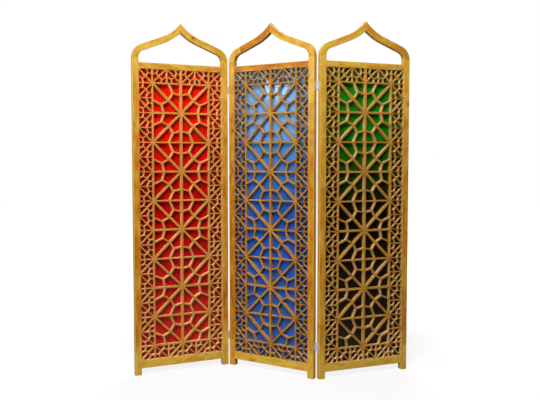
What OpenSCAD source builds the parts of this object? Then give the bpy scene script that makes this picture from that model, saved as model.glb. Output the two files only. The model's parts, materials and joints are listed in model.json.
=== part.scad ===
// Folding screen of three wooden panels. Each panel is a frame with an ogee arch on top, a star
// lattice in front of a coloured pane, and a border of the same lattice at half size.
// Panel frame: x across the panel, y through it with the front at -y, z up from the floor.

/* [Lattice] */
// Side of one square of the star lattice
cell = 150; // [110:1:190]
// Squares across the star field
field_cols = 2; // [2:2:4]
// Squares up the star field
field_rows = 9; // [5:2:13]
// Width of the uprights inside the star field
centre_bar_w = 11; // [8:0.5:18]
// Width of the bars round the star field
field_edge_w = 7; // [5:0.5:12]
// Width of the crossbars that pass through the stars on the centre line
star_bar_w = 9.5; // [6:0.5:14]
// Width of the other crossbars
plain_bar_w = 7; // [5:0.5:12]
// Width of the diagonals of the star field
diagonal_w = 10; // [7:0.5:16]
// Width of the arms of the rosette pieces
arm_w = 7.5; // [6:0.5:12]
// Width of the strips round the outside of the border
edge_strip_w = 5; // [4.5:0.25:7]
// Width of the bars between the squares of the border
border_bar_w = 4.75; // [3:0.25:7]
// Width of the diagonals of the border
border_diagonal_w = 5.25; // [3:0.25:7]
// Width of the arms of the border rosettes
border_arm_w = 4.4; // [3:0.2:6]

/* [Frame] */
// Width of the stiles
stile_w = 33.5; // [30:0.5:50]
// Height of the bottom rail, with its lip
bottom_rail_h = 40; // [32:1:80]
// Height of the top rail, with its lip
top_rail_h = 30; // [26:1:60]
// Length of the feet below the bottom rail
foot_h = 35; // [10:1:80]
// Height of the stiles above the top rail
stile_rise = 24; // [10:1:60]
// Depth of the rebate behind the front lip, and so how far the lip covers the lattice
rebate_w = 4; // [2:0.5:8]

/* [Depth] */
// Thickness of the front lip
lip_t = 2; // [1.5:0.5:6]
// Thickness of the lattice
lattice_t = 20; // [10:0.5:24]
// Thickness of the pane
pane_t = 3; // [2:0.5:5]
// Thickness of the glazing beads
bead_t = 3; // [2:0.5:8]
// Width of the glazing beads
bead_w = 8; // [6:0.5:14]
// Room left round the edge of the pane
pane_gap = 0.5; // [0.2:0.1:1]

/* [Arch] */
// Width of the arch members
arch_w = 32; // [26:0.5:36]
// Outer radius of the shoulder
shoulder_r = 72; // [60:1:85]
// Slope of the straight run of the arch
arch_slope = 21.5; // [15:0.5:28]
// Outer radius of the upward sweep to the tip
tip_r = 250; // [200:5:290]
// Slope of the outer edge at the tip
tip_slope = 50; // [45:1:54]
// Steps in each round stretch of the arch
arch_steps = 18; // [8:1:36]

/* [Dowels] */
// Diameter of the dowels in the rail ends and in the tip
dowel_d = 6; // [5:0.5:8]
// Length of the dowels in the rail ends and in the tip
dowel_l = 36; // [24:1:50]
// Height between the two dowels of a rail end
dowel_pitch = 12; // [9:0.5:16]
// Diameter of the dowels under the arch
foot_dowel_d = 8; // [6:0.5:10]
// Length of the dowels under the arch
foot_dowel_l = 44; // [30:1:46]
// Height of the dowel in the tip above the inside of the tip
tip_dowel_rise = 16; // [12:1:19]
// Room round a dowel or a screw in its hole
hole_gap = 0.05; // [0.02:0.01:0.1]
// Room left at each end of a dowel
end_room = 0.5; // [0.2:0.1:0.9]

/* [Hinges] */
// Height of a hinge
hinge_h = 40; // [30:1:60]
// Height of the middle of the lower hinges above the floor
low_hinge_z = 162; // [80:1:300]
// Distance from the top of the stiles to the middle of the upper hinges
high_hinge_drop = 147; // [60:1:300]
// Gap between two panels when they stand in line
panel_gap = 3.2; // [3:0.1:6]
// Thickness of a hinge leaf
leaf_t = 1.2; // [0.8:0.1:1.4]
// Width of a hinge leaf on the edge of the stile
leaf_w = 18; // [14:0.5:21]
// Distance of the pin's axis from the face of the panel
pin_proud = 3; // [2.8:0.1:5]
// Diameter of the hinge pin
pin_d = 3; // [2:0.1:3.4]
// Wall of a knuckle round its bore
knuckle_wall = 1.05; // [0.8:0.05:1.1]
// Knuckles of a hinge, shared by both leaves
knuckle_count = 5; // [3:2:7]
// Gap between two knuckles
knuckle_gap = 0.2; // [0.1:0.05:0.4]
// Room between the hinge pin and its bore
pin_clearance = 0.05; // [0.02:0.01:0.1]
// Thickness of the heads of the hinge pin
pin_head_t = 1; // [0.6:0.1:2]
// Screws in each leaf
screw_count = 3; // [2:1:3]
// Height between the screws of a leaf
screw_pitch = 12; // [8:0.5:14]
// Diameter of the screw's shank
screw_d = 3; // [2:0.1:3.5]
// Diameter of the screw's head
screw_head_d = 5.8; // [5:0.1:7]
// Length of a screw
screw_l = 16; // [10:0.5:24]

/* [Folds] */
// Turn of the left panel from the screen's long direction
left_turn = 24; // [0:0.5:80]
// Turn of the middle panel
middle_turn = -31; // [-80:0.5:0]
// Turn of the right panel
right_turn = 21; // [0:0.5:80]

/* [Hidden] */
// The star motif in a square of side 1: one star at [0, 0], the other at [1, 1]
motif_joint = 0.435;        // where the stubs meet the diagonal, on both axes
motif_elbow = [0.29, 0.68]; // where the three arms of a rosette piece meet
motif_side_foot = 0.61;     // height of the arm's end on the upright
motif_level_foot = 0.43;    // distance of the arm's end along the crossbar

PANELS = ["left", "middle", "right"];
PANEL_PARTS = [
    "left_stile", "right_stile", "bottom_rail", "top_rail", "left_arch", "right_arch",
    "lattice_uprights", "lattice_crossbars", "lattice_diagonals", "lattice_rosettes",
    "border_bars", "border_diagonals", "border_rosettes",
    "pane", "glazing_beads", "dowels"
];
FOLDS = ["left_fold", "right_fold"];
FOLD_PARTS = ["panel_leaves", "middle_leaves", "hinge_pins", "panel_screws", "middle_screws"];
NODES = concat(
    [for (panel = PANELS) for (part = PANEL_PARTS) str(panel, "_", part)],
    [for (fold = FOLDS) for (part = FOLD_PARTS) str(fold, "_", part)]
);
node = "all";

$fn = 48;
more = 1; // how far a cut runs past the face that it opens
pine = "goldenrod";
pale_pine = "burlywood";
zinc = "silver";
pane_colours = ["crimson", "royalblue", "darkgreen"];
turns = [left_turn, middle_turn, right_turn];

// Lattice and opening
small_cell = cell / 2;
small_cols = 2 * field_cols + 2;
small_rows = 2 * field_rows + 2;
lattice_w = small_cols * small_cell;
lattice_h = small_rows * small_cell;
opening_w = lattice_w - 2 * rebate_w;
panel_w = opening_w + 2 * stile_w;
opening_z = foot_h + bottom_rail_h;
lattice_z = opening_z - rebate_w;
lattice_top = lattice_z + lattice_h;
opening_top = lattice_top - rebate_w;
rail_top = opening_top + top_rail_h;
shoulder_z = rail_top + stile_rise;

// Depth of the panel, front to back
frame_t = lip_t + lattice_t + pane_t + bead_t;
lattice_y = lip_t - frame_t / 2;
pane_y = lattice_y + lattice_t;
bead_y = pane_y + pane_t;

// Arch: the straight run starts at the end of the shoulder and ends where the tip sweep starts
stile_x = panel_w / 2 - stile_w / 2;
shoulder_centre = [-panel_w / 2 + shoulder_r, shoulder_z];
run_start = shoulder_centre + shoulder_r * [-sin(arch_slope), cos(arch_slope)];
run_end_x = -tip_r * (sin(tip_slope) - sin(arch_slope));
run_end = [run_end_x, run_start.y + (run_end_x - run_start.x) * tan(arch_slope)];
tip_centre = run_end + tip_r * [-sin(arch_slope), cos(arch_slope)];
inner_tip_slope = asin(-tip_centre.x / (tip_r + arch_w));
inner_tip_z = tip_centre.y - (tip_r + arch_w) * cos(inner_tip_slope);

// The inner shoulder starts at the top of the stile's inner face and ends on the inner run
inner_shoulder_r = (shoulder_r - arch_w - (shoulder_r - stile_w) * sin(arch_slope))
    / (1 - sin(arch_slope));
inner_shoulder_centre = [inner_shoulder_r - opening_w / 2, shoulder_z];

// Hinges
pin_x = panel_w / 2 + panel_gap / 2;
pin_y = frame_t / 2 + pin_proud;
bore_d = pin_d + 2 * pin_clearance;
knuckle_d = bore_d + 2 * knuckle_wall;
knuckle_l = (hinge_h - (knuckle_count - 1) * knuckle_gap) / knuckle_count;
hinge_zs = [low_hinge_z, shoulder_z - high_hinge_drop];
screw_y = leaf_w / 2 - frame_t / 2;

// Places of the panels in plan, with the middle panel's centre at the origin
function along(turn) = [cos(turn), sin(turn)];
function forward(turn) = [sin(turn), -cos(turn)];
left_pin = -pin_x * along(middle_turn) + pin_y * forward(middle_turn);
right_pin = -left_pin;
left_centre = left_pin - pin_x * along(left_turn) - pin_y * forward(left_turn);
right_centre = right_pin + pin_x * along(right_turn) + pin_y * forward(right_turn);
centres = [left_centre, [0, 0], right_centre];
corners = [
    for (k = [0 : 2]) for (side = [-1, 1]) for (face = [-1, 1])
        centres[k] + side * panel_w / 2 * along(turns[k]) + face * frame_t / 2 * forward(turns[k])
];
corner_xs = [for (c = corners) c.x];
corner_ys = [for (c = corners) c.y];
middle_of_screen = [max(corner_xs) + min(corner_xs), max(corner_ys) + min(corner_ys)] / 2;

// ---------------------------------------------------------------- plane geometry
function odd(n) = n % 2 == 1;
function unit(v) = v / norm(v);
function left_of(v) = [-v.y, v.x];
function cross2(a, b) = a.x * b.y - a.y * b.x;
function swapped(points) = [for (p = points) [p.y, p.x]];

// Where the line through p along d meets the line through q along e
function meet(p, d, q, e) = p + d * cross2(q - p, e) / cross2(d, e);

// Points on an arc round a centre
function arc(centre, r, from, to, steps) = [
    for (i = [0 : steps]) let (a = from + (to - from) * i / steps) centre + r * [cos(a), sin(a)]
];

// ---------------------------------------------------------------- the star motif
// A square of side s has a star at [0, 0] and at [s, s]. halves = [at u = 0, at u = s, at v = 0,
// at v = s] says how much of each side of the square a bar covers.
function diagonal_outline(s, halves, w) =
    let (
        k = w * sqrt(0.5),
        u0 = halves[0], u1 = s - halves[1], v0 = halves[2], v1 = s - halves[3],
        upper = [max(u0, v0 - k), min(u1, v1 - k)],
        lower = [max(u0, v0 + k), min(u1, v1 + k)]
    )
    concat(
        [[upper[0], upper[0] + k]],
        abs(u0 - v0) < k ? [[u0, v0]] : [],
        [[lower[0], lower[0] - k], [lower[1], lower[1] - k]],
        abs(u1 - v1) < k ? [[u1, v1]] : [],
        [[upper[1], upper[1] + k]]
    );

// Three arms meet at the elbow: up to the crossbar, back to the upright, down to the diagonal
function rosette_outline(s, side_half, level_half, diagonal_w, w) =
    let (
        elbow = s * motif_elbow,
        ends = s * [[motif_level_foot, 1], [0, motif_side_foot], [motif_joint, motif_joint]],
        walls = [[0, s - level_half], [side_half, 0], [0, diagonal_w * sqrt(0.5)]],
        wall_ways = [[1, 0], [0, 1], [1, 1]],
        ways = [for (end = ends) unit(end - elbow)],
        offsets = [for (way = ways) left_of(way) * w / 2]
    )
    [
        for (i = [0 : 2]) let (next = (i + 1) % 3) each [
            meet(elbow - offsets[i], ways[i], walls[i], wall_ways[i]),
            meet(elbow + offsets[i], ways[i], walls[i], wall_ways[i]),
            meet(elbow + offsets[i], ways[i], elbow - offsets[next], ways[next])
        ]
    ];

// Both rosette pieces of a square, one on each side of its diagonal
function rosette_pair(s, halves, diagonal_w, w) = [
    rosette_outline(s, halves[0], halves[3], diagonal_w, w),
    swapped(rosette_outline(s, halves[2], halves[1], diagonal_w, w))
];

// Columns and rows are counted from the top left corner of a grid. The motif starts at the corner
// of its square where both counts are odd, and the other star is at the corner where both are even.
function grid_x(size, cols, col) = (col - cols / 2) * size;
function grid_z(size, top, row) = top - row * size;
function odd_of(n) = odd(n) ? n : n + 1;
function from_odd(n, at_n, at_next) = odd(n) ? [at_n, at_next] : [at_next, at_n];
function in_square(points, size, cols, top, col, row) = [
    for (p = points) [
        grid_x(size, cols, odd_of(col)) + (odd(col) ? p.x : -p.x),
        grid_z(size, top, odd_of(row)) + (odd(row) ? -p.y : p.y)
    ]
];

// The star field, with big squares
field_top = lattice_top - small_cell;
field_z = lattice_z + small_cell;
field_x = field_cols * cell / 2;
field_squares = [for (col = [0 : field_cols - 1]) for (row = [0 : field_rows - 1]) [col, row]];
function upright_half(col) = (col == 0 || col == field_cols ? field_edge_w : centre_bar_w) / 2;
function level_half(row) =
    (row == 0 || row == field_rows ? field_edge_w : odd(row) ? star_bar_w : plain_bar_w) / 2;
function field_halves(sq) = concat(
    from_odd(sq.x, upright_half(sq.x), upright_half(sq.x + 1)),
    from_odd(sq.y, level_half(sq.y), level_half(sq.y + 1))
);

// The border, with small squares all round the star field
border_squares = [
    for (col = [0 : small_cols - 1]) for (row = [0 : small_rows - 1])
        if (col == 0 || col == small_cols - 1 || row == 0 || row == small_rows - 1) [col, row]
];
function small_side_half(col) =
    col == 0 || col == small_cols ? edge_strip_w
    : odd(col) ? upright_half((col - 1) / 2)
    : border_bar_w / 2;
function small_level_half(col, row) =
    row == 0 || row == small_rows ? edge_strip_w
    : col == 0 || col == small_cols - 1 ? border_bar_w / 2
    : field_edge_w / 2;
function border_halves(sq) = concat(
    from_odd(sq.x, small_side_half(sq.x), small_side_half(sq.x + 1)),
    from_odd(sq.y, small_level_half(sq.x, sq.y), small_level_half(sq.x, sq.y + 1))
);

// ---------------------------------------------------------------- helpers
// A box between two corners
module block(low, high) {
    translate(low) cube(high - low);
}

// A flat outline in x and z, given its thickness from y backwards
module slab(y, thickness) {
    translate([0, y + thickness, 0]) rotate([90, 0, 0]) linear_extrude(thickness) children();
}

module lattice_piece(points) {
    slab(lattice_y, lattice_t) polygon(points);
}

module mirrored_x(flip) {
    if (flip) mirror([1, 0, 0]) children();
    else children();
}

module mirrored_y(flip) {
    if (flip) mirror([0, 1, 0]) children();
    else children();
}

// A round rod or hole along x, with its middle at a point
module rod_x(middle, d, l) {
    translate(middle) rotate([0, 90, 0]) cylinder(d = d, h = l, center = true);
}

// ---------------------------------------------------------------- frame
rail_dowel_zs = [
    for (middle = [(foot_h + lattice_z) / 2, (lattice_top + rail_top) / 2]) for (side = [-1, 1])
        middle + side * dowel_pitch / 2
];

module rail_dowels(gap, room) {
    for (side = [-1, 1]) for (z = rail_dowel_zs)
        rod_x([side * opening_w / 2, 0, z], dowel_d + 2 * gap, dowel_l + 2 * room);
}

module arch_foot_dowels(gap, room) {
    for (side = [-1, 1])
        translate([side * stile_x, 0, shoulder_z])
            cylinder(d = foot_dowel_d + 2 * gap, h = foot_dowel_l + 2 * room, center = true);
}

module tip_dowel(gap, room) {
    rod_x([0, 0, inner_tip_z + tip_dowel_rise], dowel_d + 2 * gap, dowel_l + 2 * room);
}

// The rebate for the lattice, the pane and the beads, open at the back
module rebate() {
    block(
        [-lattice_w / 2, lattice_y, lattice_z],
        [lattice_w / 2, frame_t / 2 + more, lattice_top]
    );
}

// A stile on the right of a panel. fold is -1 where a hinge pin lies in front of its edge, 1 where
// it lies behind, and 0 where the stile carries no hinge.
module stile(fold) {
    color(pine) difference() {
        block([opening_w / 2, -frame_t / 2, 0], [panel_w / 2, frame_t / 2, shoulder_z]);
        rebate();
        rail_dowels(hole_gap, end_room);
        arch_foot_dowels(hole_gap, end_room);
        if (fold != 0) mirrored_y(fold > 0) screw_holes();
    }
}

module bottom_rail() {
    color(pine) difference() {
        block([-opening_w / 2, -frame_t / 2, foot_h], [opening_w / 2, frame_t / 2, opening_z]);
        rebate();
        rail_dowels(hole_gap, end_room);
    }
}

module top_rail() {
    color(pine) difference() {
        block([-opening_w / 2, -frame_t / 2, opening_top], [opening_w / 2, frame_t / 2, rail_top]);
        rebate();
        rail_dowels(hole_gap, end_room);
    }
}

// The left half of the arch: shoulder, straight run and sweep up to the tip
arch_outline = concat(
    arc(shoulder_centre, shoulder_r, 180, 90 + arch_slope, arch_steps),
    arc(tip_centre, tip_r, arch_slope - 90, tip_slope - 90, arch_steps),
    arc(tip_centre, tip_r + arch_w, inner_tip_slope - 90, arch_slope - 90, arch_steps),
    arc(inner_shoulder_centre, inner_shoulder_r, 90 + arch_slope, 180, arch_steps)
);

module left_arch() {
    color(pine) difference() {
        slab(-frame_t / 2, frame_t) polygon(arch_outline);
        arch_foot_dowels(hole_gap, end_room);
        tip_dowel(hole_gap, end_room);
    }
}

module dowels() {
    color(pale_pine) {
        rail_dowels(0, 0);
        arch_foot_dowels(0, 0);
        tip_dowel(0, 0);
    }
}

// ---------------------------------------------------------------- lattice
module lattice_uprights() {
    color(pine) for (col = [0 : field_cols]) {
        x = grid_x(cell, field_cols, col);
        block(
            [x - upright_half(col), lattice_y, lattice_z + edge_strip_w],
            [x + upright_half(col), pane_y, lattice_top - edge_strip_w]
        );
    }
}

module lattice_crossbars() {
    color(pine) for (row = [0 : field_rows]) for (col = [0 : field_cols - 1]) {
        x = grid_x(cell, field_cols, col);
        z = grid_z(cell, field_top, row);
        block(
            [x + upright_half(col), lattice_y, z - level_half(row)],
            [x + cell - upright_half(col + 1), pane_y, z + level_half(row)]
        );
    }
}

module lattice_diagonals() {
    color(pine) for (sq = field_squares)
        lattice_piece(in_square(
            diagonal_outline(cell, field_halves(sq), diagonal_w),
            cell, field_cols, field_top, sq.x, sq.y
        ));
}

module lattice_rosettes() {
    color(pine) for (sq = field_squares)
        for (outline = rosette_pair(cell, field_halves(sq), diagonal_w, arm_w))
            lattice_piece(in_square(outline, cell, field_cols, field_top, sq.x, sq.y));
}

// Edge strips, then the bars between the squares of the side bands and of the end bands
module border_bars() {
    color(pine) {
        for (side = [0, 1]) mirrored_x(side == 1) {
            block(
                [-lattice_w / 2, lattice_y, lattice_z],
                [edge_strip_w - lattice_w / 2, pane_y, lattice_top]
            );
            for (row = [1 : small_rows - 1]) {
                z = grid_z(small_cell, lattice_top, row);
                block(
                    [edge_strip_w - lattice_w / 2, lattice_y, z - border_bar_w / 2],
                    [-field_x - field_edge_w / 2, pane_y, z + border_bar_w / 2]
                );
            }
        }
        for (z = [lattice_z, lattice_top - edge_strip_w])
            block(
                [edge_strip_w - lattice_w / 2, lattice_y, z],
                [lattice_w / 2 - edge_strip_w, pane_y, z + edge_strip_w]
            );
        for (col = [2 : 2 : small_cols - 2]) {
            x = grid_x(small_cell, small_cols, col);
            end_bands = [
                [lattice_z + edge_strip_w, field_z - field_edge_w / 2],
                [field_top + field_edge_w / 2, lattice_top - edge_strip_w]
            ];
            for (band = end_bands)
                block(
                    [x - border_bar_w / 2, lattice_y, band[0]],
                    [x + border_bar_w / 2, pane_y, band[1]]
                );
        }
    }
}

module border_diagonals() {
    color(pine) for (sq = border_squares)
        lattice_piece(in_square(
            diagonal_outline(small_cell, border_halves(sq), border_diagonal_w),
            small_cell, small_cols, lattice_top, sq.x, sq.y
        ));
}

module border_rosettes() {
    color(pine) for (sq = border_squares)
        for (outline = rosette_pair(small_cell, border_halves(sq), border_diagonal_w, border_arm_w))
            lattice_piece(in_square(outline, small_cell, small_cols, lattice_top, sq.x, sq.y));
}

// ---------------------------------------------------------------- pane and beads
module pane(colour) {
    color(colour) block(
        [pane_gap - lattice_w / 2, pane_y, lattice_z + pane_gap],
        [lattice_w / 2 - pane_gap, bead_y, lattice_top - pane_gap]
    );
}

module glazing_beads() {
    color(pale_pine) {
        for (x = [-lattice_w / 2, lattice_w / 2 - bead_w])
            block([x, bead_y, lattice_z], [x + bead_w, frame_t / 2, lattice_top]);
        for (z = [lattice_z, lattice_top - bead_w])
            block(
                [bead_w - lattice_w / 2, bead_y, z],
                [lattice_w / 2 - bead_w, frame_t / 2, z + bead_w]
            );
    }
}

// ---------------------------------------------------------------- hinges
// All of this lies on the right edge of a panel, with the pin in front of it
module at_hinges() {
    for (z = hinge_zs) translate([pin_x, -pin_y, z]) children();
}

module at_screws() {
    for (z = hinge_zs) for (i = [0 : screw_count - 1])
        translate([
            panel_w / 2 + leaf_t, screw_y, z + (i - (screw_count - 1) / 2) * screw_pitch
        ]) rotate([0, -90, 0]) children();
}

// Countersunk screw, with its head at z = 0 and its tip at z = screw_l
module screw_body() {
    point_l = screw_d;
    point_r = screw_d / 10;
    rotate_extrude() polygon([
        [0, 0], [screw_head_d / 2, 0], [screw_d / 2, leaf_t],
        [screw_d / 2, screw_l - point_l], [point_r, screw_l], [0, screw_l]
    ]);
}

module screw_holes() {
    at_screws() cylinder(d = screw_d + 2 * hole_gap, h = screw_l + end_room);
}

module countersinks() {
    at_screws() {
        translate([0, 0, -more]) cylinder(d = screw_head_d + 2 * hole_gap, h = more);
        cylinder(d1 = screw_head_d + 2 * hole_gap, d2 = screw_d + 2 * hole_gap, h = leaf_t);
    }
}

// The leaves of one side, which share the knuckles from the first one upwards in steps of two
module hinge_leaves(first_knuckle) {
    color(zinc) difference() {
        union() {
            for (z = hinge_zs)
                block(
                    [panel_w / 2, -frame_t / 2, z - hinge_h / 2],
                    [panel_w / 2 + leaf_t, leaf_w - frame_t / 2, z + hinge_h / 2]
                );
            at_hinges() for (i = [first_knuckle : 2 : knuckle_count - 1])
                translate([0, 0, i * (knuckle_l + knuckle_gap) - hinge_h / 2]) {
                    cylinder(d = knuckle_d, h = knuckle_l);
                    block([-panel_gap / 2, 0, 0], [leaf_t - panel_gap / 2, pin_proud, knuckle_l]);
                }
        }
        at_hinges() cylinder(d = bore_d, h = hinge_h + 2 * more, center = true);
        countersinks();
        screw_holes();
    }
}

module hinge_pins() {
    head_d = (bore_d + knuckle_d) / 2;
    color(zinc) at_hinges() rotate_extrude() polygon([
        [0, -hinge_h / 2 - pin_head_t], [head_d / 2, -hinge_h / 2 - pin_head_t],
        [head_d / 2, -hinge_h / 2], [pin_d / 2, -hinge_h / 2],
        [pin_d / 2, hinge_h / 2], [head_d / 2, hinge_h / 2],
        [head_d / 2, hinge_h / 2 + pin_head_t], [0, hinge_h / 2 + pin_head_t]
    ]);
}

module screws() {
    color(zinc) at_screws() screw_body();
}

// ---------------------------------------------------------------- the screen
module on_panel(k) {
    translate([centres[k].x - middle_of_screen.x, centres[k].y - middle_of_screen.y, 0])
        rotate([0, 0, turns[k]]) children();
}

// One side of a fold. side is -1 on the left edge of panel k, and fold says where the pin lies.
module on_edge(k, side, fold) {
    on_panel(k) mirrored_x(side < 0) mirrored_y(fold > 0) children();
}

function wanted(first, second) = node == "all" || node == str(first, "_", second);

// Where the pins lie at the left and right edge of each panel: -1 front, 1 back, 0 no hinge
pin_sides = [[0, -1], [-1, 1], [1, 0]];

for (k = [0 : 2]) {
    p = PANELS[k];
    if (wanted(p, "left_stile")) on_panel(k) mirror([1, 0, 0]) stile(pin_sides[k][0]);
    if (wanted(p, "right_stile")) on_panel(k) stile(pin_sides[k][1]);
    if (wanted(p, "bottom_rail")) on_panel(k) bottom_rail();
    if (wanted(p, "top_rail")) on_panel(k) top_rail();
    if (wanted(p, "left_arch")) on_panel(k) left_arch();
    if (wanted(p, "right_arch")) on_panel(k) mirror([1, 0, 0]) left_arch();
    if (wanted(p, "lattice_uprights")) on_panel(k) lattice_uprights();
    if (wanted(p, "lattice_crossbars")) on_panel(k) lattice_crossbars();
    if (wanted(p, "lattice_diagonals")) on_panel(k) lattice_diagonals();
    if (wanted(p, "lattice_rosettes")) on_panel(k) lattice_rosettes();
    if (wanted(p, "border_bars")) on_panel(k) border_bars();
    if (wanted(p, "border_diagonals")) on_panel(k) border_diagonals();
    if (wanted(p, "border_rosettes")) on_panel(k) border_rosettes();
    if (wanted(p, "pane")) on_panel(k) pane(pane_colours[k]);
    if (wanted(p, "glazing_beads")) on_panel(k) glazing_beads();
    if (wanted(p, "dowels")) on_panel(k) dowels();
}

// The outer panel of each fold: its number, its edge at the fold and the side of the pin
fold_edges = [[0, 1, -1], [2, -1, 1]];

for (i = [0 : 1]) {
    f = FOLDS[i];
    k = fold_edges[i][0];
    side = fold_edges[i][1];
    pin_side = fold_edges[i][2];
    if (wanted(f, "panel_leaves")) on_edge(k, side, pin_side) hinge_leaves(0);
    if (wanted(f, "middle_leaves")) on_edge(1, -side, pin_side) hinge_leaves(1);
    if (wanted(f, "hinge_pins")) on_edge(k, side, pin_side) hinge_pins();
    if (wanted(f, "panel_screws")) on_edge(k, side, pin_side) screws();
    if (wanted(f, "middle_screws")) on_edge(1, -side, pin_side) screws();
}
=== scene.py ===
"""The looks of a folding room screen: lacquered pine frames with ogee arches, star lattices,
coloured acrylic panes, butt hinges, and the studio that it stands in.

Everything is in metres. A panel's own frame has x across the panel, y through it from the front
to the back, and z up from the floor.
"""

import json
import logging
import math
import random
from contextlib import contextmanager
from dataclasses import dataclass
from enum import Enum
from functools import cache
from typing import Any, Callable, Iterator

import bmesh
import bpy
import numpy as np
from mathutils import Matrix, Vector


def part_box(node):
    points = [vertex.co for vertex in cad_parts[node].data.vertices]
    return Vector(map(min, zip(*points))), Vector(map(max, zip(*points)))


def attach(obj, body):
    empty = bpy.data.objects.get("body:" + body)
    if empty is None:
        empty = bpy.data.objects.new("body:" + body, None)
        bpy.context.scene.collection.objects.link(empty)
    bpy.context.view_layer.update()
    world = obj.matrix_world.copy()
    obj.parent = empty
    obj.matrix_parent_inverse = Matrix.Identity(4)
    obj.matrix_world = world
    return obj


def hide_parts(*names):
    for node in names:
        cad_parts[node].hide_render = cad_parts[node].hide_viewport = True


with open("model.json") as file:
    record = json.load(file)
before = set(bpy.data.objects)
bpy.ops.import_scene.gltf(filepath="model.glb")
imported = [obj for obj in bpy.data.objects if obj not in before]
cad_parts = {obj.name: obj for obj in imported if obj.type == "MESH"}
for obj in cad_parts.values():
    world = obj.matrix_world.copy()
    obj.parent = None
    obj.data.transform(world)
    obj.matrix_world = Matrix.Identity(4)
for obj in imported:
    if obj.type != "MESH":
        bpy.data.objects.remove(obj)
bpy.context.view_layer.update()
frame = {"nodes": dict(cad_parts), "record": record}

log = logging.getLogger("folding_screen")

IMAGE_WIDTH = 540
SHARP_ANGLE = math.radians(35)
SMOOTH_ANGLE = math.radians(50)
MERGE_DISTANCE = 0.00001
FLAT_ANGLE = math.radians(0.4)
SAME_PLACE = 0.00005

Piece = bpy.types.Object
Node = bpy.types.Node
Socket = bpy.types.NodeSocket
Tree = bpy.types.NodeTree
Edge = bmesh.types.BMEdge
Colour = tuple[float, float, float, float]
Triple = tuple[float, float, float]
Span = tuple[float, float]
EdgeTest = Callable[[Edge], bool]
ToneAt = Callable[[np.ndarray], float]

WHITE: Colour = (1.0, 1.0, 1.0, 1.0)


# ---- named choices
class Owner(Enum):
    """Something whose parts have nodes that start with its name."""

    def node(self, part: str) -> str:
        """Names the node of one of its parts."""
        return f"{self.value}_{part}"


class Panel(Owner):
    """The panels, from the viewer's left to right."""

    LEFT = "left"
    MIDDLE = "middle"
    RIGHT = "right"


class Fold(Owner):
    """The two folds between the panels."""

    LEFT = "left_fold"
    RIGHT = "right_fold"


class Side(Enum):
    """The two sides of a panel, with the sign of x there."""

    LEFT = -1
    RIGHT = 1


# ---- modelling tools
@dataclass(frozen=True)
class Arris:
    """A rounded edge.

    Args:
        radius: How far the rounding reaches from the edge.
        facets: Faces across the rounding.
    """

    radius: float
    facets: int


def select_only(piece: Piece) -> None:
    """Selects one object alone and makes it the active one."""
    bpy.ops.object.select_all(action="DESELECT")
    piece.select_set(True)
    bpy.context.view_layer.objects.active = piece


@contextmanager
def editing(piece: Piece) -> Iterator[None]:
    """Opens a piece in edit mode with nothing selected, and closes it afterwards.

    Args:
        piece: The piece.
    """
    select_only(piece)
    bpy.ops.object.mode_set(mode="EDIT")
    bpy.ops.mesh.select_mode(type="EDGE")
    bpy.ops.mesh.select_all(action="DESELECT")
    yield
    bpy.ops.object.mode_set(mode="OBJECT")


def copy_of_node(node: str, name: str) -> Piece:
    """Copies a node's mesh into a piece of its own, with its loose triangles joined up.

    Args:
        node: The node to copy.
        name: The new piece's name.

    Returns:
        The piece, closed and with its flat faces whole.
    """
    piece = bpy.data.objects.new(name, frame["nodes"][node].data.copy())
    bpy.context.scene.collection.objects.link(piece)
    select_only(piece)
    bpy.ops.mesh.customdata_custom_splitnormals_clear()
    with editing(piece):
        bpy.ops.mesh.select_all(action="SELECT")
        bpy.ops.mesh.remove_doubles(threshold=MERGE_DISTANCE)
        bpy.ops.mesh.mark_sharp(clear=True)
        bpy.ops.mesh.dissolve_limited(angle_limit=FLAT_ANGLE)
    return piece


def is_outward(edge: Edge) -> bool:
    """Tells whether an edge is a sharp one that sticks out."""
    return len(edge.link_faces) == 2 and edge.calc_face_angle_signed() > SHARP_ANGLE


def round_edges(piece: Piece, arris: Arris, wanted: EdgeTest = lambda edge: True) -> None:
    """Rounds the sharp outward edges that a test picks, and marks the new faces as arris.

    Args:
        piece: The piece to work on.
        arris: The rounding.
        wanted: Picks the edges.
    """
    with editing(piece):
        mesh = bmesh.from_edit_mesh(piece.data)
        chosen = [edge for edge in mesh.edges if is_outward(edge) and wanted(edge)]
        for edge in chosen:
            edge.select_set(True)
        bmesh.update_edit_mesh(piece.data)
        if not chosen:
            return
        bpy.ops.mesh.bevel(
            offset=arris.radius, segments=arris.facets, affect="EDGES", clamp_overlap=True
        )
        mesh = bmesh.from_edit_mesh(piece.data)
        mark = mesh.faces.layers.float.get("arris") or mesh.faces.layers.float.new("arris")
        for face in mesh.faces:
            if face.select:
                face[mark] = 1.0
        bmesh.update_edit_mesh(piece.data)


def smooth(piece: Piece) -> None:
    """Shades a piece smooth over its roundings, with its large faces kept flat.

    Args:
        piece: The piece.
    """
    select_only(piece)
    bpy.ops.object.shade_smooth_by_angle(angle=SMOOTH_ANGLE)
    bpy.ops.object.modifier_add(type="WEIGHTED_NORMAL")
    piece.modifiers[-1].keep_sharp = True
    bpy.ops.object.modifier_apply(modifier=piece.modifiers[-1].name)


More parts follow.
